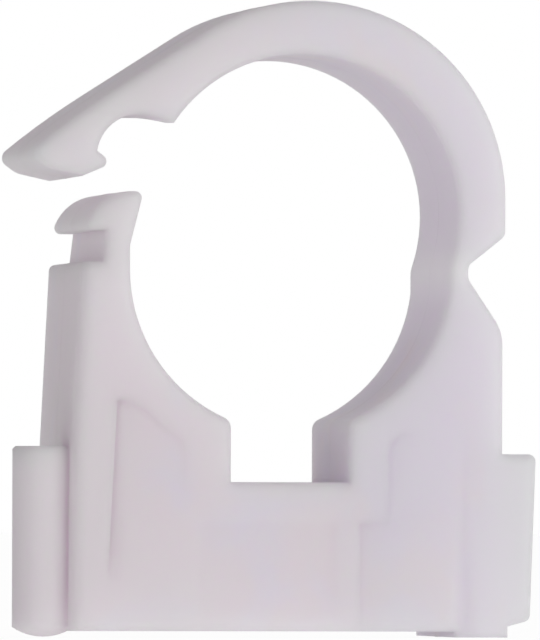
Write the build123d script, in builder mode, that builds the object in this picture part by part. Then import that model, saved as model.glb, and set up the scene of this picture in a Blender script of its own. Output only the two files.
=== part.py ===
"""Hinge-over snap clip for a 22 mm pipe: one moulding, standing on its base with its arm open.

Frame: the origin is where the screw hole leaves the underside of the base, +Z points away
from the wall, Y runs along the pipe and the front of the clip faces -Y. Lengths are in mm.

The side outline is one closed line. The arm is drawn shut, hooked over the head of the post,
and each of its points is then turned about the living hinge by open_angle.
"""
from build123d import *
import os
from math import atan, cos, degrees, hypot, radians, sin, sqrt, tan

# Pipe and clip as a whole
pipe_diameter = 22.0
clip_depth = 15.0
axis_height = 24.5  # pipe's axis above the underside of the base
edge_round = 0.4  # along the front and back outlines
open_angle = 12.5

# Base, its two sides, and the feet that hold the underside off the wall
base_side = 4.05  # left side of the base, out from the pipe
base_side_height = 12.05
base_step = 0.1  # side of the base leans in by this up to that height
column_wall = 3.65  # right side, out from the pipe
foot_width = 3.25
foot_height = 0.4

# Screw slot in the floor of the saddle
slot_width = 8.1
slot_floor = 10.1
slot_mouth_round = 0.8
screw_hole_diameter = 4.6
screw_head_diameter = 7.6

# Post, its ledge, and the domed head that the hook snaps over
post_wall = 3.3  # at the ledge
ledge_rise = 0.5  # ledge above the pipe's axis
ledge_round = 0.45
neck_foot_wall = 1.9
neck_top_wall = 1.65
neck_length = 2.1
head_radius = 3.25
head_inset = 0.1  # centre of the dome, in from the pipe's wall
head_rise = 2.0  # centre of the dome above the pipe's axis
head_lip = 0.9  # head's overhang above the pipe
head_lip_rise = 1.6  # where the overhang starts, above the pipe's axis
head_tip_round = 0.45

# Living hinge and the notch behind it
hinge_thickness = 1.35
hinge_inset = 0.08  # hinge's inner face, in from the pipe's wall
hinge_rise = 0.15  # hinge's axis above the pipe's axis
hinge_inner_round = 2.0
shoulder_drop = 4.1  # top of the right side below the pipe's axis
shoulder_lean = 34.0
shoulder_round = 3.0
notch_round = 0.9

# Arm, as drawn shut
arm_lift = 1.5  # centre of the arm's bore above the pipe's axis
arm_side_shift = 0.3
arm_wall = 2.7
arm_crown = 1.03  # thicker over the top by this
arm_hinge_extra = 0.35  # thicker towards the hinge by this
heel_angle = 12.4  # outer face runs straight below this angle
heel_start = 0.4  # heel's underside above the hinge's axis
heel_slope = 51.0
heel_round = 0.7
heel_notch_round = 0.5
flank_slope = 45.0
flank_length = 7.5
nose_reach = 7.95  # corner of the nose, out from the pipe's wall
nose_rise = 1.2  # corner of the nose above the pipe's axis
nose_round = 0.65
belly_near = 0.7  # flat underside of the hook, out from the post
belly_length = 2.4
belly_round = 1.8
lip_gap = 0.25  # tip of the lip, out from the neck
lip_rise = 1.32  # tip of the lip above the ledge
lip_round = 0.45
recess_radius = 2.93
recess_shift = 0.55  # centre of the recess, out from the head's
recess_lift = 0.6  # and above it
recess_foot_angle = 184.0
recess_tip_round = 0.45

# Interlock: a round bead on the left slides into the socket of the next clip
bead_radius = 2.1
bead_stand = 1.4  # bead's centre, out from the side of the base
bead_setback = 3.2  # bead's centre behind the front face
bead_height = 12.5
bead_top_bevel = 0.2
bead_dome = 0.65  # height of its domed foot
socket_play = 0.1
socket_stand = 1.0  # socket's centre, out from the right side
flange_height = 12.05
flange_reach = 2.33  # at its top
flange_draft = 2.0
flange_gap = 0.35  # under the flange
flange_root = 1.0  # overlap with the right side
flange_toe = 0.4  # toe at its foot, out from the right side
flange_foot_rise = 0.43  # underside of the flange rises outwards
flange_depth = 7.8
flange_round = 0.5

# Moulded relief of the front and back faces
ring_wall = 2.8  # left standing round the saddle
post_face_wall = 2.35  # left standing beside the left pocket, at the underside
post_face_lean = 2.9
slot_wall_left = 3.2  # left standing beside the slot
slot_wall_right = 2.65
slot_floor_wall = 2.84
left_pocket_depth = 0.3  # at its upper left corner
left_pocket_shallow = 0.08  # at its upper right corner
left_pocket_fade = 3.0  # height where it runs out along its left wall
pocket_corner_round = 1.2
crease_bottom = 3.45  # ends of the crease beside the post
crease_top = 15.6
crease_width = 1.6
crease_depth = 0.6
right_pocket_top = 13.35
right_pocket_width = 2.9
right_pocket_depth = 0.45  # at its top
right_pocket_shallow = 0.12  # at its bottom
right_pocket_round = 1.4
field_left = 4.75  # sunk field below the right pocket
field_width = 4.5
field_depth = 0.3
panel_depth = 0.1
panel_draft = 60.0
panel_left = 6.2
panel_right = 3.1
panel_bottom = 1.17
panel_round = 0.4
channel_place = 12.03  # shallow channel of the right side, out from the screw
channel_width = 1.66
channel_depth = 0.3  # at the underside
channel_top = 14.0  # height where it runs out
relief_reach = 3.0  # cutters start this far behind the face
relief_spare = 0.5  # and end this far before it

# Hollows in the underside, either side of the screw
core_depth = 3.4
core_near = 4.9
core_length = 6.0
core_width = 10.0
core_draft = 2.0
core_round = 1.0

seat_radius = pipe_diameter / 2
seat = (0, axis_height)
base_left = -(seat_radius + base_side)
column_right = seat_radius + column_wall
slot_half = slot_width / 2
slot_top = axis_height - sqrt(seat_radius**2 - slot_half**2)
post_outer = -(seat_radius + post_wall)
ledge_z = axis_height + ledge_rise
head_under = ledge_z + neck_length
head = (-(seat_radius - head_inset), axis_height + head_rise)
head_left = head[0] - sqrt(head_radius**2 - (head_under - head[1]) ** 2)
head_right = -(seat_radius - head_lip)
head_right_z = head[1] + sqrt(head_radius**2 - (head_right - head[0]) ** 2)
hinge_inner = seat_radius - hinge_inset
hinge_outer = hinge_inner + hinge_thickness
hinge = (hinge_inner + hinge_thickness / 2, axis_height + hinge_rise)
flat_start = axis_height - sqrt(seat_radius**2 - hinge_inner**2)
shoulder_z = axis_height - shoulder_drop
notch_z = shoulder_z + (column_right - hinge_outer) / tan(radians(shoulder_lean))


def on_circle(centre, radius, angle):
    """The point of a circle at an angle, counted from its right side."""
    return (centre[0] + radius * cos(radians(angle)), centre[1] + radius * sin(radians(angle)))


def opened(point):
    """A point of the shut arm, turned about the living hinge to where the open arm has it."""
    dx = point[0] - hinge[0]
    dz = point[1] - hinge[1]
    turn = radians(open_angle)
    return (hinge[0] + dx * cos(turn) + dz * sin(turn), hinge[1] - dx * sin(turn) + dz * cos(turn))


def lines_cross(start, angle, other_start, other_angle):
    """Where the line through start at an angle meets the line through other_start."""
    dx = other_start[0] - start[0]
    dz = other_start[1] - start[1]
    between = sin(radians(other_angle - angle))
    along = (dx * sin(radians(other_angle)) - dz * cos(radians(other_angle))) / between
    return on_circle(start, along, angle)


def circles_cross(centre, radius, other_centre, other_radius):
    """Where two circles meet, on the right of the way from the first centre to the other."""
    dx = other_centre[0] - centre[0]
    dz = other_centre[1] - centre[1]
    apart = hypot(dx, dz)
    along = (apart**2 + radius**2 - other_radius**2) / (2 * apart)
    aside = sqrt(radius**2 - along**2)
    return (
        centre[0] + (along * dx + aside * dz) / apart,
        centre[1] + (along * dz - aside * dx) / apart,
    )


def round_off(solid, end):
    """Round the edges of an extrusion's front (end 0) or back (end -1), in two flats each."""
    for flat_height, flat_slope in edge_flats:
        extrude(solid.faces().sort_by(Axis.Y)[end], amount=flat_height, taper=flat_slope)


def sloping_floor(*spots):
    """The plane through three spots of the front relief, each its x, z and depth, facing out."""
    first, second, third = [Vector(x, depth - clip_depth / 2, z) for x, z, depth in spots]
    return Plane(first, x_dir=second - first, z_dir=(second - first).cross(third - first))


# Points of the arm, shut
arm_bore = (arm_side_shift, axis_height + arm_lift)
arm_bore_radius = hypot(hinge_inner - arm_bore[0], hinge[1] - arm_bore[1])
arm_back = (arm_bore[0] + arm_hinge_extra, arm_bore[1] + arm_crown)
arm_back_radius = arm_bore_radius + arm_wall
recess = (head[0] - recess_shift, head[1] + recess_lift)
recess_foot = on_circle(recess, recess_radius, recess_foot_angle)
recess_tip = circles_cross(arm_bore, arm_bore_radius, recess, recess_radius)
heel_top = on_circle(arm_back, arm_back_radius, heel_angle)
heel_notch = (hinge_outer, hinge[1] + heel_start)
heel = lines_cross(heel_notch, heel_slope, heel_top, heel_angle + 90)
flank_top = on_circle(arm_back, arm_back_radius, 180 - flank_slope)
flank_foot = on_circle(flank_top, -flank_length, flank_slope)
nose = (-(seat_radius + nose_reach), axis_height + nose_rise)
belly_right = (post_outer - belly_near, ledge_z)
belly_left = (belly_right[0] - belly_length, ledge_z)
lip = (-(seat_radius + neck_foot_wall + lip_gap), ledge_z + lip_rise)

# Corners of the open hinge, where the faces of the base and of the arm meet
arm_bore_open = opened(arm_bore)
hinge_crease = (
    hinge_inner,
    arm_bore_open[1] - sqrt(arm_bore_radius**2 - (hinge_inner - arm_bore_open[0]) ** 2),
)
notch_crease = on_circle(
    hinge, hinge_thickness / 2 / cos(radians(open_angle / 2)), -open_angle / 2
)
foot_left = column_right - foot_width
edge_flats = [  # the two flats that round each edge of the front and back: height and slope
    (edge_round * sin(radians(45)), 22.5),
    (edge_round * (1 - sin(radians(45))), 67.5),
]
dome_radius = (bead_radius**2 + bead_dome**2) / (2 * bead_dome)
screw_head_foot = slot_floor - (screw_head_diameter - screw_hole_diameter) / 2
flange_foot_x = (
    column_right
    + flange_reach
    - (flange_height - flange_gap - flange_foot_rise) * tan(radians(flange_draft))
)

bead_centre = (base_left - bead_stand, bead_setback - clip_depth / 2)
socket_centre = (column_right + socket_stand, bead_centre[1])

corner_rounds = [
    ((slot_half, slot_top), slot_mouth_round),
    ((-slot_half, slot_top), slot_mouth_round),
    ((head_right, head_right_z), head_tip_round),
    ((head_left, head_under), head_tip_round),
    ((post_outer, ledge_z), ledge_round),
    ((column_right, shoulder_z), shoulder_round),
    ((hinge_outer, notch_z), notch_round),
    (opened(heel_notch), heel_notch_round),
    (opened(heel), heel_round),
    (opened(nose), nose_round),
    (opened(belly_left), belly_round),
    (opened(lip), lip_round),
    (opened(recess_tip), recess_tip_round),
    (hinge_crease, hinge_inner_round),
]

# Cutters for the relief of the front face
face_y = -clip_depth / 2
relief_plane = Plane.XZ.offset(clip_depth / 2 - relief_reach)
relief_length = relief_reach + relief_spare
swell_length = 2 * axis_height
boss_left = -(slot_half + slot_wall_left)
boss_right = slot_half + slot_wall_right
boss_bottom = slot_floor - slot_floor_wall
post_face_left = base_left + post_face_wall
ring_radius = seat_radius + ring_wall


def ring_height(x):
    """Height of the lower rim of the saddle's ring above the underside, at x."""
    return axis_height - sqrt(ring_radius**2 - x**2)


def post_face_edge(z):
    """Where the post's front face ends beside the left pocket, at a height."""
    return post_face_left + z * tan(radians(post_face_lean))


def swell_radius(width, depth):
    """Radius of a surface that rises by depth over width, until it meets the face."""
    return (width**2 + depth**2) / (2 * depth)


with BuildPart() as left_pocket:
    with BuildSketch(relief_plane) as left_shape:
        with BuildLine():
            Polyline(
                (post_face_left, 0),
                (boss_left, 0),
                (boss_left, axis_height),
                (post_face_edge(axis_height), axis_height),
                close=True,
            )
        make_face()
        with Locations(seat):
            Circle(ring_radius, mode=Mode.SUBTRACT)
        fillet(left_shape.vertices().sort_by(Axis.Y)[-2:], pocket_corner_round)
    extrude(amount=relief_length)
    split(
        bisect_by=sloping_floor(
            (post_face_left, left_pocket_fade, 0),
            (boss_left, ring_height(boss_left), left_pocket_shallow),
            (post_face_left, ring_height(post_face_left), left_pocket_depth),
        ),
        keep=Keep.TOP,
    )

with BuildPart() as crease:
    with BuildSketch(relief_plane):
        with BuildLine():
            Polyline(
                (post_face_edge(crease_bottom), crease_bottom),
                (post_face_edge(crease_bottom) + crease_width, crease_bottom),
                (post_face_edge(crease_top) + crease_width, crease_top),
                (post_face_edge(crease_top), crease_top),
                close=True,
            )
        make_face()
    extrude(amount=relief_length)
    crease_radius = swell_radius(crease_width, crease_depth)
    with Locations(
        Location((post_face_left + crease_width, face_y + crease_radius, 0), (0, post_face_lean, 0))
    ):
        Cylinder(crease_radius, swell_length, mode=Mode.SUBTRACT)

with BuildPart() as right_pocket:
    with BuildSketch(relief_plane) as right_shape:
        with Locations((boss_right, boss_bottom)):
            Rectangle(
                right_pocket_width, right_pocket_top - boss_bottom, align=(Align.MIN, Align.MIN)
            )
        fillet(
            right_shape.vertices().sort_by_distance((boss_right, right_pocket_top))[0],
            right_pocket_round,
        )
    extrude(amount=relief_length)
    right_radius = swell_radius(right_pocket_width, right_pocket_depth)
    right_fade = (right_pocket_depth - right_pocket_shallow) / (right_pocket_top - boss_bottom)
    with Locations(
        Location(
            (boss_right + right_pocket_width, face_y + right_radius, right_pocket_top),
            (-degrees(atan(right_fade)), 0, 0),
        )
    ):
        Cylinder(right_radius, swell_length, mode=Mode.SUBTRACT)

with BuildPart() as field:
    with BuildSketch(relief_plane):
        with Locations((field_left, -relief_spare)):
            Rectangle(field_width, boss_bottom + relief_spare, align=(Align.MIN, Align.MIN))
    extrude(amount=relief_length)
    field_radius = swell_radius(field_width, field_depth)
    with Locations((field_left + field_width, face_y + field_radius, 0)):
        Cylinder(field_radius, swell_length, mode=Mode.SUBTRACT)

with BuildPart() as channel:
    channel_radius = swell_radius(channel_width / 2, channel_depth)
    channel_lean = degrees(atan(channel_depth / channel_top))
    with Locations(
        Location((channel_place, face_y - channel_radius + channel_depth, 0), (channel_lean, 0, 0))
    ):
        Cylinder(channel_radius, swell_length)

with BuildPart() as panel:
    with BuildSketch(Plane.XZ.offset(clip_depth / 2 - panel_depth)) as panel_shape:
        with Locations((-panel_left, panel_bottom)):
            Rectangle(panel_left + panel_right, boss_bottom - panel_bottom, align=(Align.MIN, Align.MIN))
        fillet(panel_shape.vertices(), panel_round)
    extrude(amount=panel_depth + relief_spare, taper=-panel_draft)

with BuildPart() as screw_way:
    with BuildSketch(Plane.XZ):
        Polygon(
            (0, -relief_spare),
            (screw_hole_diameter / 2, -relief_spare),
            (screw_hole_diameter / 2, screw_head_foot),
            (screw_head_diameter / 2, slot_floor),
            (screw_head_diameter / 2, slot_floor + relief_spare),
            (0, slot_floor + relief_spare),
            align=None,
        )
    revolve(axis=Axis.Z)

with BuildPart() as bead:
    with BuildSketch(Plane.XZ.offset(-bead_centre[1]).move(Location((bead_centre[0], 0, 0)))):
        with BuildLine():
            dome_edge = (bead_radius, bead_dome - foot_height)
            RadiusArc((0, -foot_height), dome_edge, -dome_radius)
            Polyline(
                dome_edge,
                (bead_radius, bead_height - bead_top_bevel),
                (bead_radius - bead_top_bevel, bead_height),
                (0, bead_height),
                (0, -foot_height),
            )
        make_face()
    revolve(axis=Axis((*bead_centre, 0), (0, 0, 1)))

with BuildPart() as flange:
    with BuildSketch(Plane.XZ.offset(clip_depth / 2 - edge_round)) as flange_shape:
        with BuildLine():
            Polyline(
                (column_right - flange_root, -foot_height),
                (column_right + flange_toe, -foot_height),
                (column_right + flange_toe, flange_gap),
                (flange_foot_x, flange_gap + flange_foot_rise),
                (column_right + flange_reach, flange_height),
                (column_right - flange_root, flange_height),
                close=True,
            )
        make_face()
        fillet(flange_shape.vertices().sort_by(Axis.X)[-2:], flange_round)
    extrude(amount=edge_round - flange_depth)
    round_off(flange, 0)

# The clip
with BuildPart() as pipe_clip:
    with BuildSketch(Plane.XZ) as outline:
        with BuildLine():
            # Underside, right foot, right side and its shoulder, up to the hinge
            Polyline(
                (base_left, 0),
                (foot_left, 0),
                (foot_left, -foot_height),
                (column_right, -foot_height),
                (column_right, shoulder_z),
                (hinge_outer, notch_z),
                notch_crease,
                opened(heel_notch),
                opened(heel),
                opened(heel_top),
            )
            # Back of the arm, the flank and the hook
            ThreePointArc(
                opened(heel_top),
                opened(on_circle(arm_back, arm_back_radius, 90)),
                opened(flank_top),
            )
            Line(opened(flank_top), opened(flank_foot))
            TangentArc(
                opened(flank_foot),
                opened(nose),
                tangent=Vector(opened(flank_foot)) - Vector(opened(flank_top)),
            )
            Polyline(
                opened(nose),
                opened(belly_left),
                opened(belly_right),
                opened(lip),
                opened(recess_foot),
            )
            ThreePointArc(
                opened(recess_foot),
                opened(on_circle(recess, recess_radius, 135)),
                opened(recess_tip),
            )
            # Bore of the arm, and the saddle down to the slot
            ThreePointArc(
                opened(recess_tip),
                opened(on_circle(arm_bore, arm_bore_radius, 90)),
                hinge_crease,
            )
            Line(hinge_crease, (hinge_inner, flat_start))
            ThreePointArc(
                (hinge_inner, flat_start),
                on_circle(seat, seat_radius, -45),
                (slot_half, slot_top),
            )
            Polyline(
                (slot_half, slot_top),
                (slot_half, slot_floor),
                (-slot_half, slot_floor),
                (-slot_half, slot_top),
            )
            ThreePointArc(
                (-slot_half, slot_top),
                on_circle(seat, seat_radius, -135),
                (-seat_radius, axis_height),
            )
            # Post, with its domed head, its neck and its ledge
            Polyline(
                (-seat_radius, axis_height),
                (-seat_radius, axis_height + head_lip_rise),
                (head_right, head_right_z),
            )
            ThreePointArc(
                (head_right, head_right_z),
                on_circle(head, head_radius, 120),
                (head_left, head_under),
            )
            Polyline(
                (head_left, head_under),
                (-(seat_radius + neck_top_wall), head_under),
                (-(seat_radius + neck_foot_wall), ledge_z),
                (post_outer, ledge_z),
                (base_left + base_step, base_side_height),
                (base_left, 0),
            )
        make_face()
        for corner, radius in corner_rounds:
            fillet(outline.vertices().sort_by_distance(corner)[0], radius)
    extrude(amount=clip_depth / 2 - edge_round, both=True)
    for end in (0, -1):
        round_off(pipe_clip, end)

    # Relief, the same on both faces
    for cutter in (left_pocket, crease, right_pocket, field, panel, channel):
        add(cutter.part, mode=Mode.SUBTRACT)
        mirror(cutter.part, about=Plane.XZ, mode=Mode.SUBTRACT)

    # Screw hole, with a seat for a countersunk head in the floor of the slot
    add(screw_way.part, mode=Mode.SUBTRACT)

    # Hollows in the underside, either side of the screw
    with BuildSketch():
        for side in (-1, 1):
            with Locations((side * (core_near + core_length / 2), 0)):
                RectangleRounded(core_length, core_width, core_round)
    extrude(amount=core_depth, taper=core_draft, mode=Mode.SUBTRACT)

    # Interlock
    add(bead.part)
    add(flange.part)
    with BuildSketch(Plane.XY.offset(-foot_height)):
        with Locations(socket_centre):
            Circle(bead_radius + socket_play)
    extrude(amount=foot_height + bead_height + socket_play, mode=Mode.SUBTRACT)

pipe_clip.part.label = "pipe_clip"

os.makedirs("parts", exist_ok=True)
export_step(pipe_clip.part, "parts/pipe_clip.step")
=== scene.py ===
"""Looks of the hinge-over pipe clip: one moulding of white plastic, standing open on its feet."""

import logging
import math
from dataclasses import dataclass
from enum import Enum

import bmesh
import bpy
from mathutils import Matrix, Vector

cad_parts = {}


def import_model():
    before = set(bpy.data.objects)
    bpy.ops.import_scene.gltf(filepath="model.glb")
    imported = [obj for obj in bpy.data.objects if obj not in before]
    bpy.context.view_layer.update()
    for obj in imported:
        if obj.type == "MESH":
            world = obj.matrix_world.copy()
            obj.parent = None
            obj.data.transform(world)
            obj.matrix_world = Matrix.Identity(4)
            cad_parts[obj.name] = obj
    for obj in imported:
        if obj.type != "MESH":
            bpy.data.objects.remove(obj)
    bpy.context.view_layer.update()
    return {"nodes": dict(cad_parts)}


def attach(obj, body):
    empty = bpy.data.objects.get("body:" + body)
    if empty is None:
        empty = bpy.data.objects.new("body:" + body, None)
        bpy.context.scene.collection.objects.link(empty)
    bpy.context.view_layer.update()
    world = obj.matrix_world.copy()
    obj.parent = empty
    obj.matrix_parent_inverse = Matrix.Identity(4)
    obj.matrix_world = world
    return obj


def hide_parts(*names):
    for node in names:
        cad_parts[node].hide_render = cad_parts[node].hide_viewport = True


LOG = logging.getLogger("pipe_clip")

MM = 0.001
WHITE = (1.0, 1.0, 1.0, 1.0)
SIDEWAYS = (1.0, 0.0, 0.0)
FLAT = (1.0, 0.0, 1.0)
NOISE_ROUGHNESS = 0.55


class Sum(Enum):
    """What a Math node does with its two values."""

    ADD = "ADD"
    SUBTRACT = "SUBTRACT"
    MULTIPLY = "MULTIPLY"


class Value:
    """A shader socket that can be used in Python expressions."""

    def __init__(self, graph: "Graph", socket: bpy.types.NodeSocket) -> None:
        """Wrap one output socket of a node.

        Args:
            graph: The node tree that the socket is in.
            socket: The output socket.
        """
        self.graph = graph
        self.socket = socket

    def _with(self, kind: Sum, first: "Value | float", second: "Value | float") -> "Value":
        """Add the Math node that joins two values.

        Args:
            kind: What the node does.
            first: Its first value.
            second: Its second value.

        Returns:
            The node's result.
        """
        return self.graph.node(
            "ShaderNodeMath", {"operation": kind.value}, {0: first, 1: second}
        )

    def __add__(self, other: "Value | float") -> "Value":
        """Return this value plus another."""
        return self._with(Sum.ADD, self, other)

    def __radd__(self, other: float) -> "Value":
        """Return a number plus this value."""
        return self._with(Sum.ADD, other, self)

    def __sub__(self, other: "Value | float") -> "Value":
        """Return this value less another."""
        return self._with(Sum.SUBTRACT, self, other)

    def __rsub__(self, other: float) -> "Value":
        """Return a number less this value."""
        return self._with(Sum.SUBTRACT, other, self)

    def __mul__(self, other: "Value | float") -> "Value":
        """Return this value times another."""
        return self._with(Sum.MULTIPLY, self, other)

    def __rmul__(self, other: float) -> "Value":
        """Return a number times this value."""
        return self._with(Sum.MULTIPLY, other, self)


class Graph:
    """A node tree with one method that adds any node."""

    def __init__(self, tree: bpy.types.NodeTree) -> None:
        """Empty a node tree and keep it.

        Args:
            tree: The tree of a material or of the world.
        """
        self.tree = tree
        self.tree.nodes.clear()

    def node(
        self,
        kind: str,
        settings: dict[str, object] | None = None,
        inputs: dict[str | int, object] | None = None,
        output: str | int = 0,
    ) -> Value:
        """Add a node, set it, then set or link its sockets.

        Args:
            kind: The node's type.
            settings: The node's own properties, set first.
            inputs: A number, a colour or a Value for each socket, by name or place.
            output: The output socket to return.

        Returns:
            The chosen output of the new node.
        """
        node = self.tree.nodes.new(kind)
        for name, setting in (settings or {}).items():
            setattr(node, name, setting)
        for name, given in (inputs or {}).items():
            if isinstance(given, Value):
                self.tree.links.new(given.socket, node.inputs[name])
            else:
                node.inputs[name].default_value = given
        return Value(self, node.outputs[output] if len(node.outputs) else None)

    def noise(self, coordinates: Value, size: float, detail: float, distortion: float = 0.0) -> Value:
        """Add soft noise.

        Args:
            coordinates: Where the pattern is read.
            size: How large its patches are, in metres.
            detail: How many finer layers it has.
            distortion: How much it is swirled.

        Returns:
            The noise, between 0 and 1.
        """
        return self.node(
            "ShaderNodeTexNoise",
            {"noise_dimensions": "3D"},
            {
                "Vector": coordinates,
                "Scale": 1 / size,
                "Detail": detail,
                "Roughness": NOISE_ROUGHNESS,
                "Distortion": distortion,
            },
            output="Fac",
        )

    def ramp(self, value: Value, low: float, high: float) -> Value:
        """Spread a stretch of values over 0 to 1, with soft ends.

        Args:
            value: What is spread.
            low: The value that becomes 0.
            high: The value that becomes 1.

        Returns:
            The spread value.
        """
        return self.node(
            "ShaderNodeMapRange",
            {"interpolation_type": "SMOOTHSTEP"},
            {"Value": value, "From Min": low, "From Max": high, "To Min": 0.0, "To Max": 1.0},
        )

    def blend(self, share: Value, first: object, second: object) -> Value:
        """Blend two colours.

        Args:
            share: How much of the second colour shows.
            first: A colour or a Value.
            second: A colour or a Value.

        Returns:
            The blended colour.
        """
        return self.node(
            "ShaderNodeMix", {"data_type": "RGBA"}, {0: share, 6: first, 7: second}, output=2
        )


@dataclass(frozen=True)
class MouldedPlastic:
    """Finish of an injection moulding in unfilled white plastic."""

    name: str = "clip_plastic"
    cool: tuple[float, float, float, float] = (0.805, 0.765, 0.83, 1.0)
    warm: tuple[float, float, float, float] = (0.825, 0.765, 0.80, 1.0)
    stressed: tuple[float, float, float, float] = (0.87, 0.83, 0.87, 1.0)
    roughness: float = 0.5
    roughness_spread: float = 0.12
    cloud_size: float = 7 * MM
    cloud_detail: float = 3.0
    cloud_swirl: float = 0.6
    drift: float = 12.0
    tint_range: tuple[float, float] = (0.35, 0.65)
    stress_floor: float = 0.4
    stress_spread: float = 0.6
    grain_size: float = 0.35 * MM
    grain_detail: float = 4.0
    grain_height: float = 0.0035 * MM
    grain_middle: float = 0.5
    wave_size: float = 5 * MM
    wave_detail: float = 1.0
    wave_height: float = 0.05 * MM
    soft_edge: float = 1.1 * MM
    soft_edge_samples: int = 8
    refraction: float = 1.49
    translucency: float = 1.0
    light_reach: float = 5.0 * MM
    light_spread: tuple[float, float, float] = (1.0, 0.85, 1.0)

    def material(self, hinge: Vector, hinge_reach: float) -> bpy.types.Material:
        """Build the material.

        Args:
            hinge: The axis of the living hinge, where the plastic is paler from bending.
            hinge_reach: How far the paler plastic reaches from it.

        Returns:
            The material.
        """
        material = bpy.data.materials.new(self.name)
        material.use_nodes = True
        graph = Graph(material.node_tree)
        place = graph.node("ShaderNodeTexCoord", output="Object")
        clouds = graph.noise(place, self.cloud_size, self.cloud_detail, self.cloud_swirl)
        grain = graph.noise(place, self.grain_size, self.grain_detail)
        waves = graph.noise(place, self.wave_size, self.wave_detail)
        across = graph.node(
            "ShaderNodeVectorMath",
            {"operation": "DOT_PRODUCT"},
            {0: place, 1: SIDEWAYS},
            output="Value",
        )
        drift = clouds - across * self.drift
        tint = graph.blend(graph.ramp(drift, *self.tint_range), self.cool, self.warm)
        whitened = self._near(graph, place, hinge, hinge_reach) * (
            self.stress_floor + clouds * self.stress_spread
        )
        colour = graph.blend(whitened, tint, self.stressed)
        height = grain * self.grain_height + waves * self.wave_height
        softened = graph.node(
            "ShaderNodeBevel", {"samples": self.soft_edge_samples}, {"Radius": self.soft_edge}
        )
        bump = graph.node(
            "ShaderNodeBump",
            inputs={"Strength": 1.0, "Distance": 1.0, "Height": height, "Normal": softened},
        )
        plastic = graph.node(
            "ShaderNodeBsdfPrincipled",
            inputs={
                "Base Color": colour,
                "Roughness": self.roughness + (grain - self.grain_middle) * self.roughness_spread,
                "Normal": bump,
                "IOR": self.refraction,
                "Subsurface Weight": self.translucency,
                "Subsurface Scale": self.light_reach,
                "Subsurface Radius": self.light_spread,
            },
        )
        graph.node("ShaderNodeOutputMaterial", inputs={"Surface": plastic})
        return material

    def _near(self, graph: Graph, place: Value, axis: Vector, reach: float) -> Value:
        """Make a mask that fades out around an axis along Y.

        Args:
            graph: The material's graph.
            place: Object coordinates.
            axis: A point of the axis.
            reach: Where the mask reaches 0.

        Returns:
            The mask, 1 at the axis.
        """
        flat = graph.node(
            "ShaderNodeVectorMath",
            {"operation": "MULTIPLY"},
            {0: place, 1: FLAT},
        )
        distance = graph.node(
            "ShaderNodeVectorMath",
            {"operation": "DISTANCE"},
            {0: flat, 1: (axis.x, 0.0, axis.z)},
            output="Value",
        )
        return 1 - graph.ramp(distance, 0.0, reach)


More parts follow.
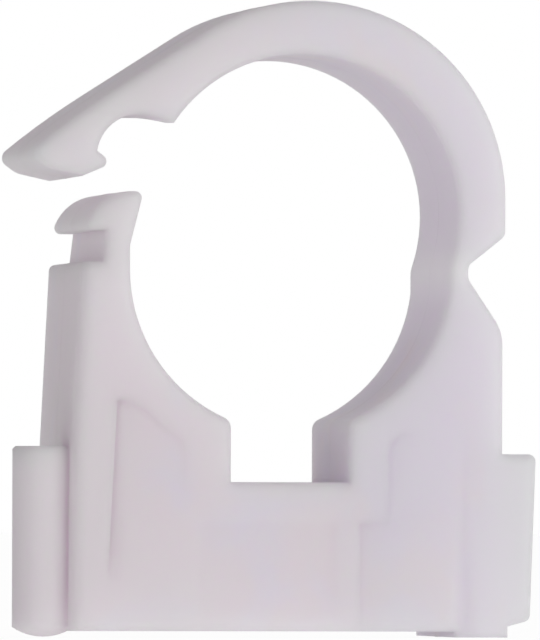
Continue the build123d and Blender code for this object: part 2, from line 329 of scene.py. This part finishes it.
@dataclass
class ClipMoulding:
    """The whole clip, with the fine ridge that its mould leaves where the halves meet."""

    node_name: str = "pipe_clip"
    slot_name: str = "clip_plastic"
    finish: MouldedPlastic = MouldedPlastic()
    ridge_half_width: float = 0.07 * MM
    ridge_height: float = 0.03 * MM
    ridge_cut_slack: float = 0.0001 * MM
    crease: float = math.radians(32)
    shading_weight: int = 80
    hinge: Vector = Vector((11.6 * MM, 0.0, 24.65 * MM))
    hinge_reach: float = 1.8 * MM
    screw_reach: float = 4.2 * MM
    slot_floor: float = 10.0 * MM
    core_height: float = 3.5 * MM
    left_side: float = -14 * MM
    joined: float = 0.001 * MM
    half_depth: float = 7.5 * MM
    heel_left: float = -10.3 * MM
    heel_right: float = -6.0 * MM
    heel_height: float = 34.35 * MM
    heel_rise: float = 0.78 * MM
    heel_cut_rises: int = 4
    heel_lead_steps: int = 9
    crease_foot: float = 3.45 * MM
    crease_reach: tuple[float, float] = (-12.6 * MM, -11.0 * MM)
    crease_depth: float = 0.7 * MM
    crease_run_out: float = 2.4 * MM
    crease_slack: float = 0.02 * MM
    face_gap: float = 0.005 * MM
    side_round: float = 1.0 * MM
    side_line: tuple[tuple[float, float], ...] = (
        (-15.05 * MM, -1.0 * MM),
        (-14.95 * MM, 12.05 * MM),
        (-14.2 * MM, 26.5 * MM),
    )
    arc_steps: int = 10

    def build(self, node: bpy.types.Object) -> bpy.types.Object:
        """Make the shown clip from the frame's own solid.

        Args:
            node: The frame's solid.

        Returns:
            The clip, which rides on the frame and stands for the solid.
        """
        shape = bmesh.new()
        shape.from_mesh(node.data)
        bmesh.ops.remove_doubles(shape, verts=shape.verts, dist=self.joined)
        shape = self._without(shape, self._under_heel())
        for low, high in zip(self.side_line, self.side_line[1:]):
            shape = self._without(shape, self._beside_post(low, high))
        self._run_out_crease(shape)
        self._raise_ridge(shape)
        self._mark_creases(shape)
        mesh = bpy.data.meshes.new("clip_moulding")
        shape.to_mesh(mesh)
        shape.free()
        clip = bpy.data.objects.new("clip_moulding", mesh)
        bpy.context.scene.collection.objects.link(clip)
        weighted = clip.modifiers.new("even shading", "WEIGHTED_NORMAL")
        weighted.keep_sharp = True
        weighted.weight = self.shading_weight
        mesh.materials.append(self.finish.material(self.hinge, self.hinge_reach))
        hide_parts(self.node_name)
        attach(clip, "root")
        return clip

    def _under_heel(self) -> bmesh.types.BMesh:
        """Make what is missing under the hook's inner corner, which runs out towards the back.

        Returns:
            A bar across the corner, as high as it at the front and curving upwards.
        """
        depth = 2 * self.half_depth
        radius = (depth**2 + self.heel_rise**2) / (2 * self.heel_rise)
        turn = math.asin(depth / radius)
        top = self.heel_height + self.heel_rise
        height = self.heel_cut_rises * self.heel_rise
        shape = bmesh.new()
        bmesh.ops.create_grid(shape, x_segments=1, y_segments=1, size=0.5)
        bmesh.ops.scale(
            shape, verts=shape.verts, vec=(self.heel_right - self.heel_left, height, 1)
        )
        bmesh.ops.rotate(shape, verts=shape.verts, matrix=Matrix.Rotation(math.radians(90), 3, "X"))
        place = ((self.heel_left + self.heel_right) / 2, self.half_depth, top - height / 2)
        bmesh.ops.translate(shape, verts=shape.verts, vec=place)
        centre = Vector((0, self.half_depth, top - radius))
        lead = Matrix.Rotation(-turn / self.heel_lead_steps, 3, "X")
        bmesh.ops.rotate(shape, verts=shape.verts, cent=centre, matrix=lead)
        bmesh.ops.spin(
            shape,
            geom=[*shape.verts, *shape.edges, *shape.faces],
            cent=centre,
            axis=(1, 0, 0),
            angle=turn * (self.heel_lead_steps + 1) / self.heel_lead_steps,
            steps=self.arc_steps,
        )
        return self._closed(shape)

    def _beside_post(self, low: tuple[float, float], high: tuple[float, float]) -> bmesh.types.BMesh:
        """Make what is missing along the front edge of the left side, which is well rounded.

        Args:
            low: The lower end of a stretch of the side, its x and z.
            high: The upper end.

        Returns:
            A bar along the edge, hollow towards it, that follows the lean of the side.
        """
        shape = bmesh.new()
        start = Vector((low[0], self.side_round - self.half_depth, low[1]))
        bmesh.ops.create_vert(shape, co=start)
        bmesh.ops.spin(
            shape,
            geom=shape.verts[:],
            cent=start + Vector((self.side_round, 0, 0)),
            axis=(0, 0, 1),
            angle=math.radians(90),
            steps=self.arc_steps,
        )
        band = bmesh.ops.extrude_edge_only(shape, edges=shape.edges)["geom"]
        outward = Vector((-self.side_round / 2, -self.side_round / 2, 0))
        outer = [part for part in band if isinstance(part, bmesh.types.BMVert)]
        bmesh.ops.translate(shape, verts=outer, vec=outward)
        raised = bmesh.ops.extrude_face_region(shape, geom=shape.faces[:])["geom"]
        top = [part for part in raised if isinstance(part, bmesh.types.BMVert)]
        bmesh.ops.translate(shape, verts=top, vec=(high[0] - low[0], 0, high[1] - low[1]))
        return self._closed(shape)

    def _run_out_crease(self, shape: bmesh.types.BMesh) -> None:
        """Raise the foot of the crease beside the post to the face, on the front and the back.

        Args:
            shape: The clip's mesh.
        """
        left, right = self.crease_reach
        foot = [
            v
            for v in shape.verts
            if left < v.co.x < right
            and abs(v.co.z - self.crease_foot) < self.crease_slack
            and self.joined < self.half_depth - abs(v.co.y) < self.crease_depth
        ]
        beside = {face for v in foot for face in v.link_faces}
        edges = {edge for face in beside for edge in face.edges}
        corners = {v for face in beside for v in face.verts}
        bmesh.ops.bisect_plane(
            shape,
            geom=[*corners, *edges, *beside],
            dist=self.joined,
            plane_co=(0, 0, self.crease_foot + self.crease_run_out),
            plane_no=(0, 0, 1),
        )
        for vertex in foot:
            vertex.co.y = math.copysign(self.half_depth - self.face_gap, vertex.co.y)
        bmesh.ops.dissolve_degenerate(shape, dist=self.joined, edges=shape.edges)

    def _closed(self, shape: bmesh.types.BMesh) -> bmesh.types.BMesh:
        """Close a shape's open ends and turn its faces outwards.

        Args:
            shape: The shape.

        Returns:
            The same shape, closed.
        """
        bmesh.ops.remove_doubles(shape, verts=shape.verts, dist=self.joined)
        open_edges = [edge for edge in shape.edges if edge.is_boundary]
        bmesh.ops.holes_fill(shape, edges=open_edges, sides=0)
        bmesh.ops.recalc_face_normals(shape, faces=shape.faces)
        return shape

    def _without(self, shape: bmesh.types.BMesh, missing: bmesh.types.BMesh) -> bmesh.types.BMesh:
        """Take one closed shape away from another.

        Args:
            shape: What is kept, freed here.
            missing: What is taken away, freed here.

        Returns:
            What is left.
        """
        blocks = []
        for part in (shape, missing):
            mesh = bpy.data.meshes.new("trim")
            part.to_mesh(mesh)
            part.free()
            block = bpy.data.objects.new("trim", mesh)
            bpy.context.scene.collection.objects.link(block)
            blocks.append(block)
        trim = blocks[0].modifiers.new("trim", "BOOLEAN")
        trim.operation = "DIFFERENCE"
        trim.solver = "EXACT"
        trim.object = blocks[1]
        left = bmesh.new()
        left.from_object(blocks[0], bpy.context.evaluated_depsgraph_get())
        for block in blocks:
            mesh = block.data
            bpy.data.objects.remove(block)
            bpy.data.meshes.remove(mesh)
        return left

    def _raise_ridge(self, shape: bmesh.types.BMesh) -> None:
        """Raise the parting line along the middle of the outline.

        Args:
            shape: The clip's mesh, which is cut along the line.
        """
        for side in (-1, 1, 0):
            bmesh.ops.bisect_plane(
                shape,
                geom=[*shape.verts, *shape.edges, *shape.faces],
                dist=self.ridge_cut_slack,
                plane_co=(0, side * self.ridge_half_width, 0),
                plane_no=(0, 1, 0),
            )
        shape.normal_update()
        line = [v for v in shape.verts if abs(v.co.y) < self.joined and self._on_outline(v.co)]
        outward = [v.normal.copy() for v in line]
        for vertex, normal in zip(line, outward):
            vertex.co += normal * self.ridge_height

    def _on_outline(self, place: Vector) -> bool:
        """Tell the outline from the screw hole and the hollows under the base.

        Args:
            place: A point in the middle plane.

        Returns:
            Whether the mould's halves meet there.
        """
        in_screw_hole = abs(place.x) < self.screw_reach and place.z < self.slot_floor
        in_hollow = place.x < self.hinge.x and self.joined < place.z < self.core_height
        at_side = place.x < self.left_side
        return at_side or not (in_screw_hole or in_hollow)

    def _mark_creases(self, shape: bmesh.types.BMesh) -> None:
        """Shade the faces smoothly, apart from the sharp edges.

        Args:
            shape: The clip's mesh.
        """
        for face in shape.faces:
            face.smooth = True
        for edge in shape.edges:
            edge.smooth = len(edge.link_faces) == 2 and edge.calc_face_angle(0.0) < self.crease


@dataclass
class Studio:
    """Pale floor, soft light and the camera at the photograph's angle."""

    feet: float = -0.44 * MM
    floor_size: float = 6.0
    azimuth: float = math.radians(-9.91)
    elevation: float = math.radians(-0.86)
    roll: float = math.radians(0.17)
    distance: float = 900 * MM
    pixels_per_metre: float = 14647.0
    image_width: int = 540
    image_height: int = 640
    known_point: Vector = Vector((0.0, 0.0, 19.69 * MM))
    known_pixel: tuple[float, float] = (272.0, 342.0)
    sensor: float = 36.0
    glow: float = 0.775
    glow_slope: tuple[float, float, float] = (0.29, 0.0, -0.46)
    side_shade: float = 0.25
    key_place: Vector = Vector((0.42, -0.62, 0.0))
    key_watts: float = 1.85
    fill_place: Vector = Vector((-0.38, -0.62, 0.08))
    fill_watts: float = 0.58
    light_size: float = 0.50
    paper: tuple[float, float, float, float] = (0.8, 0.8, 0.8, 1.0)
    paper_roughness: float = 0.9
    paper_gloss: float = 0.1
    paper_glow: float = 0.3
    seen_white: float = 0.95
    clip_near: float = 0.05
    clip_far: float = 20.0

    def build(self) -> None:
        """Set up everything around the clip."""
        self._set_colour_management()
        self._build_world()
        self._build_floor()
        self._add_light("key", self.key_place, self.light_size, self.key_watts)
        self._add_light("fill", self.fill_place, self.light_size, self.fill_watts)
        self._add_camera()

    def _set_colour_management(self) -> None:
        """Show colours as they are, so that white stays white."""
        settings = bpy.context.scene.view_settings
        settings.view_transform = "Standard"
        settings.look = "None"

    def _build_world(self) -> None:
        """Light the clip softly from all round, most from its right, in front of plain white."""
        world = bpy.data.worlds.new("studio")
        world.use_nodes = True
        bpy.context.scene.world = world
        graph = Graph(world.node_tree)
        direction = graph.node("ShaderNodeTexCoord", output="Generated")
        slope = graph.node(
            "ShaderNodeVectorMath",
            {"operation": "DOT_PRODUCT"},
            {0: direction, 1: self.glow_slope},
            output="Value",
        )
        sideways = graph.node(
            "ShaderNodeVectorMath",
            {"operation": "DOT_PRODUCT"},
            {0: direction, 1: SIDEWAYS},
            output="Value",
        )
        around = graph.node(
            "ShaderNodeBackground",
            inputs={
                "Color": WHITE,
                "Strength": self.glow + slope - sideways * sideways * self.side_shade,
            },
        )
        behind = graph.node("ShaderNodeBackground", inputs={"Color": WHITE, "Strength": 1.0})
        both = graph.node("ShaderNodeMixShader", inputs={0: self._seen(graph), 1: around, 2: behind})
        graph.node("ShaderNodeOutputWorld", inputs={"Surface": both})

    def _seen(self, graph: Graph) -> Value:
        """Return 1 for what is seen directly, and 0 for what only lights the clip."""
        return graph.node("ShaderNodeLightPath", output="Is Camera Ray")

    def _build_floor(self) -> None:
        """Lay the pale floor that the clip stands on."""
        shape = bmesh.new()
        bmesh.ops.create_grid(shape, x_segments=1, y_segments=1, size=self.floor_size)
        bmesh.ops.translate(shape, verts=shape.verts, vec=(0, 0, self.feet))
        mesh = bpy.data.meshes.new("floor")
        shape.to_mesh(mesh)
        shape.free()
        floor = bpy.data.objects.new("floor", mesh)
        bpy.context.scene.collection.objects.link(floor)
        material = bpy.data.materials.new("pale_floor")
        material.use_nodes = True
        graph = Graph(material.node_tree)
        paper = graph.node(
            "ShaderNodeBsdfPrincipled",
            inputs={
                "Base Color": self.paper,
                "Roughness": self.paper_roughness,
                "Specular IOR Level": self.paper_gloss,
                "Emission Color": WHITE,
                "Emission Strength": self.paper_glow,
            },
        )
        white = graph.node("ShaderNodeEmission", inputs={"Color": WHITE, "Strength": 1.0})
        both = graph.node(
            "ShaderNodeMixShader", inputs={0: self._seen(graph) * self.seen_white, 1: paper, 2: white}
        )
        graph.node("ShaderNodeOutputMaterial", inputs={"Surface": both})
        mesh.materials.append(material)

    def _add_light(self, name: str, place: Vector, size: float, watts: float) -> None:
        """Add a square soft light that faces the clip.

        Args:
            name: Its name.
            place: Where it hangs.
            size: The length of its sides.
            watts: Its power.
        """
        light = bpy.data.lights.new(name, "AREA")
        light.shape = "SQUARE"
        light.size = size
        light.energy = watts
        lamp = bpy.data.objects.new(name, light)
        aim = self.known_point - place
        turn = aim.to_track_quat("-Z", "Y").to_matrix().to_4x4()
        lamp.matrix_world = Matrix.Translation(place) @ turn
        bpy.context.scene.collection.objects.link(lamp)

    def _add_camera(self) -> None:
        """Put the camera where the photograph was taken from."""
        right = Vector((math.cos(self.azimuth), math.sin(self.azimuth), 0.0))
        back = Vector(
            (
                math.sin(self.azimuth) * math.cos(self.elevation),
                -math.cos(self.azimuth) * math.cos(self.elevation),
                math.sin(self.elevation),
            )
        )
        up = back.cross(right)
        across = right * math.cos(self.roll) + up * math.sin(self.roll)
        upward = up * math.cos(self.roll) - right * math.sin(self.roll)
        middle = (self.image_width / 2, self.image_height / 2)
        aim = (
            self.known_point
            + across * ((middle[0] - self.known_pixel[0]) / self.pixels_per_metre)
            + upward * ((self.known_pixel[1] - middle[1]) / self.pixels_per_metre)
        )
        camera = bpy.data.cameras.new("camera")
        camera.sensor_fit = "VERTICAL"
        camera.sensor_height = self.sensor
        focal_pixels = self.pixels_per_metre * self.distance
        camera.lens = focal_pixels * self.sensor / self.image_height
        camera.clip_start = self.clip_near
        camera.clip_end = self.clip_far
        seat = bpy.data.objects.new("camera", camera)
        turn = Matrix((across, upward, back)).transposed().to_4x4()
        seat.matrix_world = Matrix.Translation(aim + back * self.distance) @ turn
        bpy.context.scene.collection.objects.link(seat)
        bpy.context.scene.camera = seat


def main() -> None:
    """Load the frame, dress it, and set up the studio."""
    logging.basicConfig(level=logging.INFO)
    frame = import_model()
    moulding = ClipMoulding()
    clip = moulding.build(frame["nodes"][moulding.node_name])
    LOG.info("%s has %d faces", clip.name, len(clip.data.polygons))
    Studio().build()


if __name__ == "__main__":
    main()
